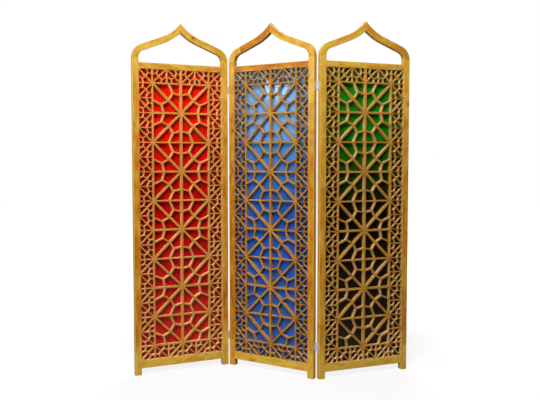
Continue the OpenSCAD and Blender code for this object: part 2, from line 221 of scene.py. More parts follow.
# ---- places of the panels
@dataclass(frozen=True)
class PanelPlace:
    """Where a panel stands, read from its nodes.

    Args:
        across: Unit vector along the panel, to the viewer's right.
        back: Unit vector from the panel's front to its back.
        origin: The point on the floor under the middle of the panel.
    """

    across: Vector
    back: Vector
    origin: Vector

    @classmethod
    def of(cls, panel: Panel) -> "PanelPlace":
        """Finds a panel's place from its pane and its stiles.

        Args:
            panel: Which panel.

        Returns:
            Its place.
        """
        pane = points_of(panel.node("pane"))[:, :2]
        spread = np.cov((pane - pane.mean(axis=0)).T)
        direction = np.linalg.eigh(spread)[1][:, -1]
        direction = direction if direction[0] > 0 else -direction
        across = Vector((direction[0], direction[1], 0))
        back = Vector((-direction[1], direction[0], 0))
        unplaced = cls(across, back, Vector((0, 0, 0)))
        low = unplaced.extent(panel.node("left_stile"))[0]
        high = unplaced.extent(panel.node("right_stile"))[1]
        middle = (low + high) / 2
        return cls(across, back, across * middle[0] + back * middle[1])

    def local(self, points: np.ndarray) -> np.ndarray:
        """Turns points into the panel's own frame."""
        axes = np.array([self.across, self.back, (0, 0, 1)], float)
        return (points - np.array(self.origin)) @ axes.T

    def extent(self, node: str) -> tuple[np.ndarray, np.ndarray]:
        """Gives a node's lowest and highest corners in the panel's own frame."""
        points = self.local(points_of(node))
        return points.min(axis=0), points.max(axis=0)

    def holds(self, edge: Edge, axis: int, value: float) -> bool:
        """Tells whether both ends of an edge lie at a value on one of the panel's axes."""
        ends = self.local(np.array([vert.co for vert in edge.verts]))[:, axis]
        return bool(np.abs(ends - value).max() < SAME_PLACE)

    def matrix(self) -> Matrix:
        """Gives the matrix from the panel's own frame to the row's."""
        axes = Matrix((self.across, self.back, (0, 0, 1))).transposed()
        return Matrix.Translation(self.origin) @ axes.to_4x4()


def points_of(node: str) -> np.ndarray:
    """Reads a node's vertices."""
    return mesh_points(frame["nodes"][node].data)


def mesh_points(mesh: bpy.types.Mesh) -> np.ndarray:
    """Reads a mesh's vertices as rows of x, y and z."""
    points = np.empty(len(mesh.vertices) * 3, np.float32)
    mesh.vertices.foreach_get("co", points)
    return points.reshape(-1, 3).astype(float)


# ---- grain
def loose_parts(mesh: bpy.types.Mesh) -> np.ndarray:
    """Numbers the separate parts of a mesh.

    Args:
        mesh: The mesh.

    Returns:
        For each vertex, the number of the part that it belongs to.
    """
    ends = np.empty(len(mesh.edges) * 2, np.int32)
    mesh.edges.foreach_get("vertices", ends)
    first, second = ends.reshape(-1, 2).T
    label = np.arange(len(mesh.vertices))
    while True:
        lowest = np.minimum(label[first], label[second])
        lower = label.copy()
        np.minimum.at(lower, first, lowest)
        np.minimum.at(lower, second, lowest)
        lower = lower[lower]
        if (lower == label).all():
            return np.unique(label, return_inverse=True)[1]
        label = lower


@dataclass(frozen=True)
class GrainLayer:
    """Lays the wood's grain along each separate part of a piece.

    Args:
        seed: Start of the random draws.
        log_length: How far apart two parts can lie in the tree, along the grain.
        pith_shift: How far the pith can lie from the middle of a part.
        tone_spread: How much darker or paler than the rest one part can be.
    """

    seed: int
    log_length: float = 12.0
    pith_shift: float = 0.05
    tone_spread: float = 0.16

    def lay(self, piece: Piece, place: PanelPlace, tone_at: ToneAt) -> None:
        """Writes each vertex's place in its own board, its tone, and how face-on each face is.

        Args:
            piece: A wooden piece, with its mesh finished.
            place: The panel that it belongs to.
            tone_at: For a board's middle in the panel's frame, how much darker the board is.
        """
        draw = random.Random(f"{self.seed} {piece.name}")
        points = place.local(mesh_points(piece.data))
        parts = loose_parts(piece.data)
        grain = np.zeros_like(points)
        tones = np.zeros(len(points))
        for part in range(parts.max() + 1):
            chosen = parts == part
            flat = points[chosen][:, (0, 2)]
            flat = flat - flat.mean(axis=0)
            axis = np.linalg.eigh(flat.T @ flat)[1][:, -1]
            side = np.array((-axis[1], axis[0]))
            reaches = (self.log_length, self.pith_shift, self.pith_shift, self.tone_spread)
            *shift, tone = (draw.uniform(-reach, reach) for reach in reaches)
            grain[chosen, 0] = flat @ axis + shift[0]
            grain[chosen, 1] = flat @ side + shift[1]
            grain[chosen, 2] = points[chosen][:, 1] + shift[2]
            middle = (points[chosen].min(axis=0) + points[chosen].max(axis=0)) / 2
            tones[chosen] = tone + tone_at(middle)
        normals = np.empty(len(piece.data.polygons) * 3, np.float32)
        piece.data.polygons.foreach_get("normal", normals)
        fronts = np.abs(normals.reshape(-1, 3) @ np.array(place.back))
        for name, kind, domain, key, values in (
            ("grain_at", "FLOAT_VECTOR", "POINT", "vector", grain.ravel()),
            ("tone", "FLOAT", "POINT", "value", tones),
            ("face_on", "FLOAT", "FACE", "value", fronts),
        ):
            attribute = piece.data.attributes.new(name, kind, domain)
            attribute.data.foreach_set(key, values.astype(np.float32))


# ---- node tools
class Sheet:
    """A node tree that is filled one node at a time."""

    def __init__(self, tree: Tree) -> None:
        """Keeps the tree."""
        self.tree = tree

    def add(self, kind: str, inputs: dict[Any, Any] | None = None, **settings: Any) -> Node:
        """Adds a node.

        Args:
            kind: The node's type, without the word ShaderNode.
            inputs: What feeds its inputs, as in feed.
            settings: The node's own settings.

        Returns:
            The node.
        """
        node = self.tree.nodes.new("ShaderNode" + kind)
        for name, value in settings.items():
            setattr(node, name, value)
        self.feed(node, inputs or {})
        return node

    def feed(self, node: Node, inputs: dict[Any, Any]) -> None:
        """Gives inputs of a node their values, or links them to the sockets that feed them.

        Args:
            node: The node.
            inputs: For each input's name or number, a value or the socket that feeds it.
        """
        for name, value in inputs.items():
            if isinstance(value, Socket):
                self.tree.links.new(value, node.inputs[name])
            else:
                node.inputs[name].default_value = value

    def maths(self, operation: str, *values: Any, clamp: bool = False) -> Socket:
        """Adds a Math node and gives its output."""
        node = self.add("Math", dict(enumerate(values)), operation=operation, use_clamp=clamp)
        return node.outputs[0]

    def vector(self, operation: str, *values: Any) -> Socket:
        """Adds a Vector Math node and gives its output."""
        node = self.add("VectorMath", dict(enumerate(values)), operation=operation)
        return node.outputs["Value" if operation == "LENGTH" else "Vector"]

    def plus(self, value: Any, more: Any, share: Any) -> Socket:
        """Adds a share of one value to another one."""
        return self.maths("ADD", value, self.maths("MULTIPLY", more, share))

    def ramp(
        self, value: Any, ends: Span, to: Span = (0, 1), smooth_ends: bool = True
    ) -> Socket:
        """Adds a clamped Map Range node.

        Args:
            value: What it reads.
            ends: The values between which it rises or falls.
            to: What it gives at each of them.
            smooth_ends: Whether it starts and stops gently.

        Returns:
            Its output.
        """
        limits = dict(zip(("From Min", "From Max", "To Min", "To Max"), (*ends, *to)))
        kind = "SMOOTHSTEP" if smooth_ends else "LINEAR"
        node = self.add("MapRange", {"Value": value, **limits}, interpolation_type=kind)
        return node.outputs[0]

    def mix(self, share: Any, first: Any, second: Any) -> Socket:
        """Mixes two colours and gives the result."""
        inputs = {0: share, 6: first, 7: second}
        return self.add("Mix", inputs, data_type="RGBA", clamp_factor=True).outputs[2]

    def stretched_noise(
        self, at: Any, cells: Triple, detail: float, roughness: float = 0.55
    ) -> Socket:
        """Adds a noise that can be longer one way than another.

        Args:
            at: The place.
            cells: Number of its cells in a metre along each axis.
            detail: How many finer layers it has.
            roughness: How strong they are.

        Returns:
            Its value.
        """
        place = self.vector("MULTIPLY", at, cells)
        inputs = {"Vector": place, "Scale": 1.0, "Detail": detail, "Roughness": roughness}
        return self.add("TexNoise", inputs).outputs["Fac"]

    def ray_masks(self) -> tuple[Socket, Socket]:
        """Masks the rays that the camera sees and those that a gloss mirrors or lets through."""
        path = self.add("LightPath").outputs
        glossy, through = path["Is Glossy Ray"], path["Is Transmission Ray"]
        return path["Is Camera Ray"], self.maths("ADD", glossy, through, clamp=True)


def new_pattern(name: str, **inputs: tuple[str, ...]) -> tuple[Sheet, Any, Node]:
    """Starts a shader node group that gives a colour, a roughness and a height.

    Args:
        name: The group's name.
        inputs: The names of the inputs of each kind, by the kind.

    Returns:
        The group's sheet, the outputs of its input node, and its output node.
    """
    tree = bpy.data.node_groups.new(name, "ShaderNodeTree")
    outputs = {"Color": ("Colour",), "Float": ("Roughness", "Height")}
    for in_out, kinds in (("INPUT", inputs), ("OUTPUT", outputs)):
        for kind, socket in ((kind, socket) for kind in kinds for socket in kinds[kind]):
            tree.interface.new_socket(socket, in_out=in_out, socket_type="NodeSocket" + kind)
    given = tree.nodes.new("NodeGroupInput").outputs
    return Sheet(tree), given, tree.nodes.new("NodeGroupOutput")


# ---- pine
PINE_COLOURS = ("Pale", "Ochre", "Blush", "Olive", "Sawn", "Knot", "Worn")

# Cells of each noise in a metre: along the grain, and both ways across it
STREAK_CELLS = (1.8, 55.0, 55.0)
MOTTLE_CELLS = (9.0, 26.0, 26.0)
WAVER_CELLS = (2.5, 12.0, 12.0)
FIBRE_CELLS = (30.0, 1400.0, 1400.0)
TINT_CELLS = (14.0, 40.0, 40.0)
KNOT_CELLS = (6.5, 24.0, 24.0)

# How far from its centre a knot starts and is full, and the sizes that the cells' lots give it
KNOT_CORE = (0.0090, 0.0050)
KNOT_HALO = (0.030, 0.004)
KNOT_LOTS = (0.30, 1.0)
KNOT_SIZES = (0.25, 1.15)

# How far the tree's waver and a knot push the rings aside, and how sharply they end
RING_WAVER = 0.022
RING_BEND = 0.009
RING_SHARPNESS = 2.2

# What streaks and rings add to the stain's depth, what painted shade adds lower down, and what
# painted light at the feet takes off
STREAK_DEPTH = 0.9
RING_DEPTH = 0.30
PAINTED_SHADE_DEPTH = 0.78
PAINTED_SHADE_HEIGHTS = (1.60, 1.00)
PAINTED_FOOT_LIGHT = 0.90
PAINTED_FOOT_LIGHT_HEIGHTS = (0.26, 0.04)

# The depths over which the wood goes dark, and how face-on a side is and a front is, where the
# sides' painted light gives way to the faces
DARK_DEPTHS = (0.9, 2.1)
FRONT_TURNS = (0.3, 0.9)


@cache
def pine_grain() -> Tree:
    """Builds the group for growth rings, streaks, tinted patches and knots in lacquered pine,
    with painted shade lower down, painted light at the feet and on the sides, and a painted
    highlight on the rounded edges.

    Returns:
        The group, which reads a place in the board.
    """
    sheet, given, wanted = new_pattern(
        "Pine grain", Vector=("Grain At",), Color=PINE_COLOURS,
        Float=("Height Up", "Tone", "Arris", "Face On", "Ring Pitch", "Mottle"),
    )
    at = given["Grain At"]
    streak = sheet.stretched_noise(at, STREAK_CELLS, detail=4.0, roughness=0.6)
    mottle = sheet.stretched_noise(at, MOTTLE_CELLS, detail=3.0)
    waver = sheet.stretched_noise(at, WAVER_CELLS, detail=2.0)
    fibre = sheet.stretched_noise(at, FIBRE_CELLS, detail=2.0)
    tint = sheet.stretched_noise(at, TINT_CELLS, detail=2.0)

    # Knots: one in each stretched cell, but round at its real size
    cells = sheet.vector("MULTIPLY", at, KNOT_CELLS)
    cell = sheet.add("TexVoronoi", {"Vector": cells, "Scale": 1.0, "Randomness": 0.9})
    away = sheet.vector("SUBTRACT", cell.outputs["Position"], cells)
    away = sheet.vector("DIVIDE", away, KNOT_CELLS)
    lot = sheet.add("SeparateColor", {"Color": cell.outputs["Color"]}).outputs["Red"]
    size = sheet.ramp(lot, KNOT_LOTS, KNOT_SIZES, smooth_ends=False)
    spread = sheet.maths("DIVIDE", sheet.vector("LENGTH", away), size)
    core = sheet.ramp(spread, KNOT_CORE)
    halo = sheet.ramp(spread, KNOT_HALO)

    # Growth rings round the pith, bent by the tree's waver and by each knot
    parts = sheet.add("SeparateXYZ", {"Vector": at})
    pith = sheet.add("CombineXYZ", {"Y": parts.outputs["Y"], "Z": parts.outputs["Z"]}).outputs[0]
    radius = sheet.plus(sheet.vector("LENGTH", pith), waver, RING_WAVER)
    radius = sheet.plus(radius, halo, RING_BEND)
    phase = sheet.maths("FRACT", sheet.maths("DIVIDE", radius, given["Ring Pitch"]))
    late = sheet.maths("POWER", phase, RING_SHARPNESS)

    # Depth of the stain, with the painted shade and light added: 0 is pale, 1 is ochre, and what
    # is deeper goes towards the knots' colour
    streak_off, mottle_off = (sheet.maths("SUBTRACT", noise, 0.5) for noise in (streak, mottle))
    depth = sheet.maths("MULTIPLY_ADD", streak_off, STREAK_DEPTH, given["Tone"])
    depth = sheet.plus(depth, mottle_off, given["Mottle"])
    depth = sheet.plus(depth, late, RING_DEPTH)
    # Painted shade: the wood darkens from 1.6 m down to 1 m, standing in for the top light
    # falling off
    shade = sheet.ramp(given["Height Up"], PAINTED_SHADE_HEIGHTS, (0.0, PAINTED_SHADE_DEPTH))
    depth = sheet.maths("ADD", depth, shade)
    # Painted light: the wood turns paler over the lowest 0.26 m, standing in for light on the
    # feet and bottom rails
    foot = sheet.ramp(given["Height Up"], PAINTED_FOOT_LIGHT_HEIGHTS, (0.0, PAINTED_FOOT_LIGHT))
    depth = sheet.maths("SUBTRACT", depth, foot)

    # Colour: the stain, tinted patches, the sides' painted light, knots, and the worn edges with
    # their painted highlight over all
    colour = sheet.mix(sheet.maths("MAXIMUM", depth, 0.0), given["Pale"], given["Ochre"])
    colour = sheet.mix(sheet.ramp(depth, DARK_DEPTHS, (0.0, 0.75)), colour, given["Knot"])
    colour = sheet.mix(sheet.ramp(tint, (0.52, 0.66), (0.0, 0.65)), colour, given["Blush"])
    colour = sheet.mix(sheet.ramp(tint, (0.48, 0.34), (0.0, 0.60)), colour, given["Olive"])
    # Painted light: the sides take their own paler colour, standing in for the top light that
    # they catch
    lit_side_depth = sheet.maths("MULTIPLY", depth, 0.35, clamp=True)
    sawn = sheet.mix(lit_side_depth, given["Sawn"], given["Ochre"])
    colour = sheet.mix(sheet.ramp(given["Face On"], FRONT_TURNS), sawn, colour)
    colour = sheet.mix(sheet.maths("MULTIPLY", halo, 0.55), colour, given["Ochre"])
    colour = sheet.mix(sheet.maths("MULTIPLY", core, 0.9), colour, given["Knot"])
    # Worn edges and painted highlight: the rounded edges go paler in patches, partly as wear and
    # partly standing in for their highlights
    rubbed = sheet.ramp(mottle, (0.36, 0.62), (0.25, 0.80))
    worn = sheet.maths("MULTIPLY", given["Arris"], rubbed)

    rough = sheet.maths("MULTIPLY_ADD", streak, 0.16, 0.36)
    height = sheet.plus(sheet.maths("MULTIPLY", late, -0.35), fibre, 0.4)
    sheet.feed(wanted, {
        "Colour": sheet.mix(worn, colour, given["Worn"]),
        "Roughness": sheet.plus(rough, worn, 0.12),
        "Height": sheet.plus(height, core, 0.4),
    })
    return sheet.tree


# ---- acrylic and zinc
# Cells of each noise in a metre, along x, y and z
CLOUD_CELLS = (5.0, 5.0, 2.2)
BOW_CELLS = (4.0, 4.0, 2.5)
SMUDGE_CELLS = (22.0, 22.0, 14.0)
BLOTCH_CELLS = (180.0, 180.0, 180.0)
SCRATCH_CELLS = (2600.0, 2600.0, 160.0)

# How far the clouding moves a sheet's colours, and the shares of its height where its painted
# shade and light change
CLOUD_DRIFT = 0.34
WAIST_STARTS = (0.06, 0.34)
HEAD_STARTS = (0.50, 0.92)


@cache
def sheet_tint_and_light() -> Tree:
    """Builds the group for a tinted sheet's colour, painted lighter near the top and darker over
    the middle as light falls, with clouding and smudges.

    Returns:
        The group, which reads a place on the object.
    """
    sheet, given, wanted = new_pattern(
        "Sheet tint", Vector=("At",), Float=("Low", "High"), Color=("Foot", "Waist", "Head")
    )
    at = given["At"]
    cloud = sheet.stretched_noise(at, CLOUD_CELLS, detail=3.0, roughness=0.5)
    bow = sheet.stretched_noise(at, BOW_CELLS, detail=1.0, roughness=0.3)
    smudge = sheet.stretched_noise(at, SMUDGE_CELLS, detail=4.0, roughness=0.6)
    z = sheet.add("SeparateXYZ", {"Vector": at}).outputs["Z"]
    drift = sheet.maths("MULTIPLY_ADD", cloud, CLOUD_DRIFT, -CLOUD_DRIFT / 2)
    above_low = sheet.maths("SUBTRACT", sheet.maths("ADD", z, drift), given["Low"])
    tall = sheet.maths("SUBTRACT", given["High"], given["Low"])
    up = sheet.maths("DIVIDE", above_low, tall)
    # Painted light and shade: from the foot's colour down to the dark waist and up to the light
    # head
    colour = sheet.mix(sheet.ramp(up, WAIST_STARTS), given["Foot"], given["Waist"])
    sheet.feed(wanted, {
        "Colour": sheet.mix(sheet.ramp(up, HEAD_STARTS), colour, given["Head"]),
        "Roughness": sheet.ramp(smudge, (0.35, 0.75), (0.03, 0.09)),
        "Height": bow,
    })
    return sheet.tree


@cache
def plated_metal() -> Tree:
    """Builds the group for dull zinc plating with rubbed edges and fine scratches.

    Returns:
        The group, which reads a place on the object.
    """
    sheet, given, wanted = new_pattern(
        "Plated metal", Vector=("At",), Float=("Arris",), Color=("Clean", "Dull")
    )
    at = given["At"]
    blotch = sheet.stretched_noise(at, BLOTCH_CELLS, detail=4.0)
    scratch = sheet.stretched_noise(at, SCRATCH_CELLS, detail=2.0)
    plated = sheet.ramp(blotch, (0.35, 0.70))
    dull = sheet.maths("SUBTRACT", plated, given["Arris"], clamp=True)
    sheet.feed(wanted, {
        "Colour": sheet.mix(dull, given["Clean"], given["Dull"]),
        "Roughness": sheet.maths("MULTIPLY_ADD", dull, 0.22, 0.30),
        "Height": scratch,
    })
    return sheet.tree


def new_material(name: str) -> tuple[Sheet, Node]:
    """Starts a material.

    Args:
        name: Its name.

    Returns:
        The material's sheet and its Principled BSDF.
    """
    material = bpy.data.materials.new(name)
    material.use_nodes = True
    return Sheet(material.node_tree), material.node_tree.nodes["Principled BSDF"]


def dress(sheet: Sheet, shader: Node, pattern: Node, bump: Span) -> None:
    """Feeds a shader from a pattern group's colour, roughness and height.

    Args:
        sheet: The material's sheet.
        shader: Its Principled BSDF.
        pattern: The group node.
        bump: Strength and distance of the bump.
    """
    given = pattern.outputs
    relief = {"Height": given["Height"], "Strength": bump[0], "Distance": bump[1]}
    sheet.feed(shader, {
        "Base Color": given["Colour"], "Roughness": given["Roughness"],
        "Normal": sheet.add("Bump", relief).outputs["Normal"],
    })


# ---- finishes
@dataclass(frozen=True)
class Finish:
    """What the pieces of one material slot are finished with.

    Args:
        slot: The material slot.
    """

    slot: str

    def fill(self, sheet: Sheet, shader: Node) -> None:
        """Fills the finish's own material.

        Args:
            sheet: The material's sheet.
            shader: Its Principled BSDF.
        """
        raise NotImplementedError


@cache
def material_of(finish: Finish) -> bpy.types.Material:
    """Builds a finish's material once, and gives it."""
    name = finish.slot + " finish"
    finish.fill(*new_material(name))
    return bpy.data.materials[name]


@dataclass(frozen=True)
class PineFinish(Finish):
    """Lacquered pine.

    Args:
        pale: Colour of the early wood.
        ochre: Colour of the late wood and of the darker patches.
        blush: Colour of the reddish patches.
        olive: Colour of the greenish patches.
        sawn: Colour of the sides, a painted light that on the lattice makes them far paler than
            the faces, as if lit from above.
        knot: Colour of the knots.
        worn: Colour of the rounded edges, partly wear and partly a painted highlight.
        ring_pitch: Distance between two growth rings.
        mottle: How strongly the lacquer's patches show.
        coat: Weight of the lacquer's gloss.
    """

    pale: Colour
    ochre: Colour
    blush: Colour
    olive: Colour
    sawn: Colour
    knot: Colour
    worn: Colour
    ring_pitch: float
    mottle: float
    coat: float

    def fill(self, sheet: Sheet, shader: Node) -> None:
        """Feeds the shader from the pine's pattern and the attributes of each piece."""
        grain_at, tone, arris, face_on = (
            sheet.add("Attribute", attribute_name=name).outputs
            for name in ("grain_at", "tone", "arris", "face_on")
        )
        place = sheet.add("TexCoord").outputs["Object"]
        wood = sheet.add("Group", {
            "Grain At": grain_at["Vector"],
            "Height Up": sheet.add("SeparateXYZ", {"Vector": place}).outputs["Z"],
            "Tone": tone["Fac"], "Arris": arris["Fac"], "Face On": face_on["Fac"],
            **{name: getattr(self, name.lower()) for name in PINE_COLOURS},
            "Ring Pitch": self.ring_pitch, "Mottle": self.mottle,
        }, node_tree=pine_grain())
        dress(sheet, shader, wood, bump=(0.25, 0.0003))
        gloss = {"Specular IOR Level": 0.3, "Coat Weight": self.coat, "Coat Roughness": 0.25}
        sheet.feed(shader, gloss)


@dataclass(frozen=True)
class AcrylicFinish(Finish):
    """Glossy tinted acrylic sheet, with painted light and shade up its height.

    Args:
        foot: Colour near the bottom.
        waist: Colour over the middle, the deepest, a painted shade.
        head: Colour near the top, the lightest, a painted light.
        low: Height of the sheet's bottom.
        high: Height of the sheet's top.
    """

    foot: Colour
    waist: Colour
    head: Colour
    low: float
    high: float

    def fill(self, sheet: Sheet, shader: Node) -> None:
        """Feeds the shader from the pattern of a tinted sheet."""
        tint = sheet.add("Group", {
            "At": sheet.add("TexCoord").outputs["Object"], "Low": self.low, "High": self.high,
            "Foot": self.foot, "Waist": self.waist, "Head": self.head,
        }, node_tree=sheet_tint_and_light())
        dress(sheet, shader, tint, bump=(0.02, 0.002))
        sheet.feed(shader, {"IOR": 1.49, "Specular IOR Level": 0.3})


@dataclass(frozen=True)
class ZincFinish(Finish):
    """Zinc-plated steel, dull enough to look pale from every side.

    Args:
        clean: Colour of the rubbed metal.
        dull: Colour of the dull plating.
        metallic: How much of the plating mirrors like bare metal.
    """

    clean: Colour
    dull: Colour
    metallic: float

    def fill(self, sheet: Sheet, shader: Node) -> None:
        """Feeds the shader from the pattern of plated metal."""
        metal = sheet.add("Group", {
            "At": sheet.add("TexCoord").outputs["Object"],
            "Arris": sheet.add("Attribute", attribute_name="arris").outputs["Fac"],
            "Clean": self.clean, "Dull": self.dull,
        }, node_tree=plated_metal())
        dress(sheet, shader, metal, bump=(0.15, 0.0001))
        sheet.feed(shader, {"Metallic": self.metallic})


FRAME_PINE = PineFinish(
    slot="frame_pine",
    pale=(0.63, 0.395, 0.052, 1), ochre=(0.40, 0.130, 0.001, 1), blush=(0.54, 0.190, 0.008, 1),
    olive=(0.46, 0.275, 0.008, 1), sawn=(0.56, 0.345, 0.045, 1),
    knot=(0.085, 0.024, 0.002, 1), worn=(0.66, 0.48, 0.13, 1),
    ring_pitch=0.0034, mottle=2.6, coat=0.08,
)
# The lattice's side colour is a painted light, far paler than its faces
LATTICE_PINE = PineFinish(
    slot="lattice_pine",
    pale=(0.78, 0.250, 0.048, 1), ochre=(0.26, 0.074, 0.002, 1), blush=(0.50, 0.115, 0.010, 1),
    olive=(0.42, 0.200, 0.008, 1), sawn=(0.86, 0.650, 0.320, 1),
    knot=(0.12, 0.034, 0.003, 1), worn=(0.46, 0.24, 0.03, 1),
    ring_pitch=0.0024, mottle=1.8, coat=0.05,
)
PALE_PINE = PineFinish(
    slot="pale_pine",
    pale=(0.72, 0.52, 0.25, 1), ochre=(0.52, 0.30, 0.09, 1), blush=(0.66, 0.40, 0.17, 1),
    olive=(0.62, 0.46, 0.20, 1), sawn=(0.72, 0.52, 0.25, 1),
    knot=(0.24, 0.10, 0.03, 1), worn=(0.80, 0.62, 0.34, 1),
    ring_pitch=0.0026, mottle=1.0, coat=0.10,
)
ZINC = ZincFinish(
    slot="zinc_steel", clean=(0.80, 0.84, 0.88, 1), dull=(0.58, 0.62, 0.66, 1), metallic=0.55
)

# Foot, waist and head colours of each pane: its tint with painted shade over the middle and
# painted light at the top
PANE_TINTS_AND_LIGHT: dict[Panel, tuple[Colour, Colour, Colour]] = {
    Panel.LEFT: ((0.54, 0.004, 0.003, 1), (0.44, 0.002, 0.003, 1), (0.72, 0.008, 0.001, 1)),
    Panel.MIDDLE: ((0.016, 0.085, 0.36, 1), (0.013, 0.078, 0.38, 1), (0.085, 0.28, 0.60, 1)),
    Panel.RIGHT: ((0.006, 0.003, 0.001, 1), (0.005, 0.003, 0.001, 1), (0.007, 0.20, 0.003, 1)),
}


# ---- finishing a piece
def body_of(node: str) -> str:
    """Names the body that a node rides on."""
    bodies = frame["record"]["behaviour"]["bodies"]
    return next(body for body, nodes in bodies.items() if node in nodes)


def settle(piece: Piece, node: str, finish: Finish) -> None:
    """Gives a finished piece its material and its body, in place of its node.

    Args:
        piece: The piece, at its place.
        node: The node that it stands for.
        finish: Its finish.
    """
    piece.data.materials.clear()
    piece.data.materials.append(material_of(finish))
    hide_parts(node)
    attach(piece, body_of(node))
    log.info("%s: %d faces on %s", piece.name, len(piece.data.polygons), body_of(node))


@dataclass
class PanelPart:
    """A group of pieces that belong to one panel.

    Args:
        panel: Which panel.
        place: Where it stands.
    """

    panel: Panel
    place: PanelPlace

    def copy(self, part: str, word: str) -> tuple[Piece, str]:
        """Copies a part's node, with a word after its name, and gives the piece and the node."""
        node = self.panel.node(part)
        return copy_of_node(node, f"{node}_{word}"), node

    def finish_wood(
        self, piece: Piece, node: str, grain: GrainLayer, finish: PineFinish,
        tone_at: ToneAt = lambda middle: 0.0,
    ) -> None:
        """Smooths a wooden piece, lays its grain and settles it.

        Args:
            piece: The piece, with its edges rounded.
            node: The node that it stands for.
            grain: How its grain lies.
            finish: Its finish.
            tone_at: For a board's middle in the panel's frame, how much darker the board is.
        """
        smooth(piece)
        grain.lay(piece, self.place, tone_at)
        settle(piece, node, finish)


# ---- the frame of a panel
@dataclass(frozen=True)
class ArchLengths:
    """The two lengths of wood that half an arch is glued up from.

    Args:
        joint: How far from the panel's middle they meet.
        foot_tone: How much darker than the rest the length on the stile is.
        tip_tone: How much darker than the rest the length at the tip is.
    """

    joint: float
    foot_tone: float
    tip_tone: float

    def tone_at(self, middle: np.ndarray) -> float:
        """Gives the tone of the length whose middle lies at a place in the panel's frame."""
        return self.foot_tone if abs(middle[0]) > self.joint else self.tip_tone


@dataclass(frozen=True)
class Timber:
    """The tones of the wood that one panel's frame is made of, partly its own and partly painted
    light and shade.

    Args:
        arch: The lengths of each half of the arch.
        boards: How much darker than the rest a stile or a rail is, by its name.
        lattice: How dark the faces of the lattice are, on the middle panel partly a painted
            shade.
    """

    arch: dict[Side, ArchLengths]
    boards: dict[str, float]
    lattice: float


@dataclass
class PanelFrame(PanelPart):
    """The stiles, rails and arch of one panel.

    Args:
        timber: The tones of its wood.
        outer: Rounding of the long outer edges.
        lip: Rounding of the edges of the thin front lip.
        small: Rounding of the ends and the joints.
        grain: How the grain lies.
    """

    timber: Timber
    outer: Arris = Arris(0.0017, 3)
    lip: Arris = Arris(0.0010, 2)
    small: Arris = Arris(0.0006, 1)
    grain: GrainLayer = GrainLayer(seed=12)

    def build(self) -> None:
        """Builds the stiles, the rails and the arch."""
        self.build_board("left_stile", axis=0, end=0)
        self.build_board("right_stile", axis=0, end=1)
        self.build_board("bottom_rail", axis=2, end=0)
        self.build_board("top_rail", axis=2, end=1)
        for side in Side:
            self.build_arch(side)

    def on_face(self, edge: Edge) -> bool:
        """Tells whether an edge lies in the front or the back face of the panel."""
        faces = self.place.extent(self.panel.node("left_stile"))
        return any(self.place.holds(edge, 1, face[1]) for face in faces)

    def build_board(self, part: str, axis: int, end: int) -> None:
        """Builds a stile or a rail, with rounded long edges.

        Args:
            part: The board.
            axis: The axis on which its outer side lies, 0 or 2.
            end: 0 if its outer side is the low one on that axis, 1 if it is the high one.
        """
        piece, node = self.copy(part, "lacquered")
        limits = self.place.extent(node)
        half_length = (limits[1] - limits[0])[2 - axis] / 2

        def is_long(edge: Edge) -> bool:
            """Tells whether an edge runs along the board."""
            return self.on_face(edge) and edge.calc_length() > half_length

        def is_outer(edge: Edge) -> bool:
            """Tells whether an edge runs along the board's outer side."""
            return is_long(edge) and self.place.holds(edge, axis, limits[end][axis])

        round_edges(piece, self.outer, is_outer)
        round_edges(piece, self.lip, is_long)
        round_edges(piece, self.small)
        tone = self.timber.boards.get(part, 0.0)
        self.finish_wood(piece, node, self.grain, FRAME_PINE, lambda middle: tone)

    def build_arch(self, side: Side) -> None:
        """Builds one half of the arch from two lengths with a glued joint between them.

        Args:
            side: Which half.
        """
        piece, node = self.copy(f"{side.name.lower()}_arch", "lacquered")
        lengths = self.timber.arch[side]
        joint_x = side.value * lengths.joint
        foot_z = self.place.extent(node)[0][2]
        joint = self.place.matrix() @ Vector((joint_x, 0, 0))
        with editing(piece):
            bpy.ops.mesh.select_all(action="SELECT")
            bpy.ops.mesh.bisect(plane_co=joint, plane_no=self.place.across)
            bpy.ops.mesh.edge_split(type="EDGE")
            bpy.ops.mesh.select_all(action="DESELECT")
            mesh = bmesh.from_edit_mesh(piece.data)
            for edge in mesh.edges:
                edge.select_set(edge.is_boundary)
            bmesh.update_edit_mesh(piece.data)
            bpy.ops.mesh.edge_face_add()

        def is_free(edge: Edge) -> bool:
            """Tells whether an edge of a face lies at none of the half arch's joints."""
            joined = any(self.place.holds(edge, 0, x) for x in (joint_x, 0.0))
            return self.on_face(edge) and not joined and not self.place.holds(edge, 2, foot_z)

        round_edges(piece, self.outer, is_free)
        round_edges(piece, self.small)
        self.finish_wood(piece, node, self.grain, FRAME_PINE, lengths.tone_at)


# ---- the lattice of a panel
@dataclass
class StarLattice(PanelPart):
    """The bars and the three-armed pieces of one panel's lattice.

    Args:
        tone: How dark the faces of its pieces are.
        field_arris: Rounding of the edges in the star field.
        border_arris: Rounding of the thinner pieces in the border.
        grain: How the grain lies.
    """

    tone: float
    field_arris: Arris = Arris(0.0007, 2)
    border_arris: Arris = Arris(0.00045, 2)
    grain: GrainLayer = GrainLayer(seed=23, pith_shift=0.03)

    def build(self) -> None:
        """Builds all the lattice's pieces."""
        for part in ("uprights", "crossbars", "diagonals", "rosettes"):
            self.build_group("lattice_" + part, self.field_arris)
        for part in ("bars", "diagonals", "rosettes"):
            self.build_group("border_" + part, self.border_arris)

    def build_group(self, part: str, arris: Arris) -> None:
        """Builds one kind of lattice piece, with every edge eased.

        Args:
            part: The kind of piece.
            arris: Rounding of its edges.
        """
        piece, node = self.copy(part, "lacquered")
        round_edges(piece, arris)
        self.finish_wood(piece, node, self.grain, LATTICE_PINE, lambda middle: self.tone)


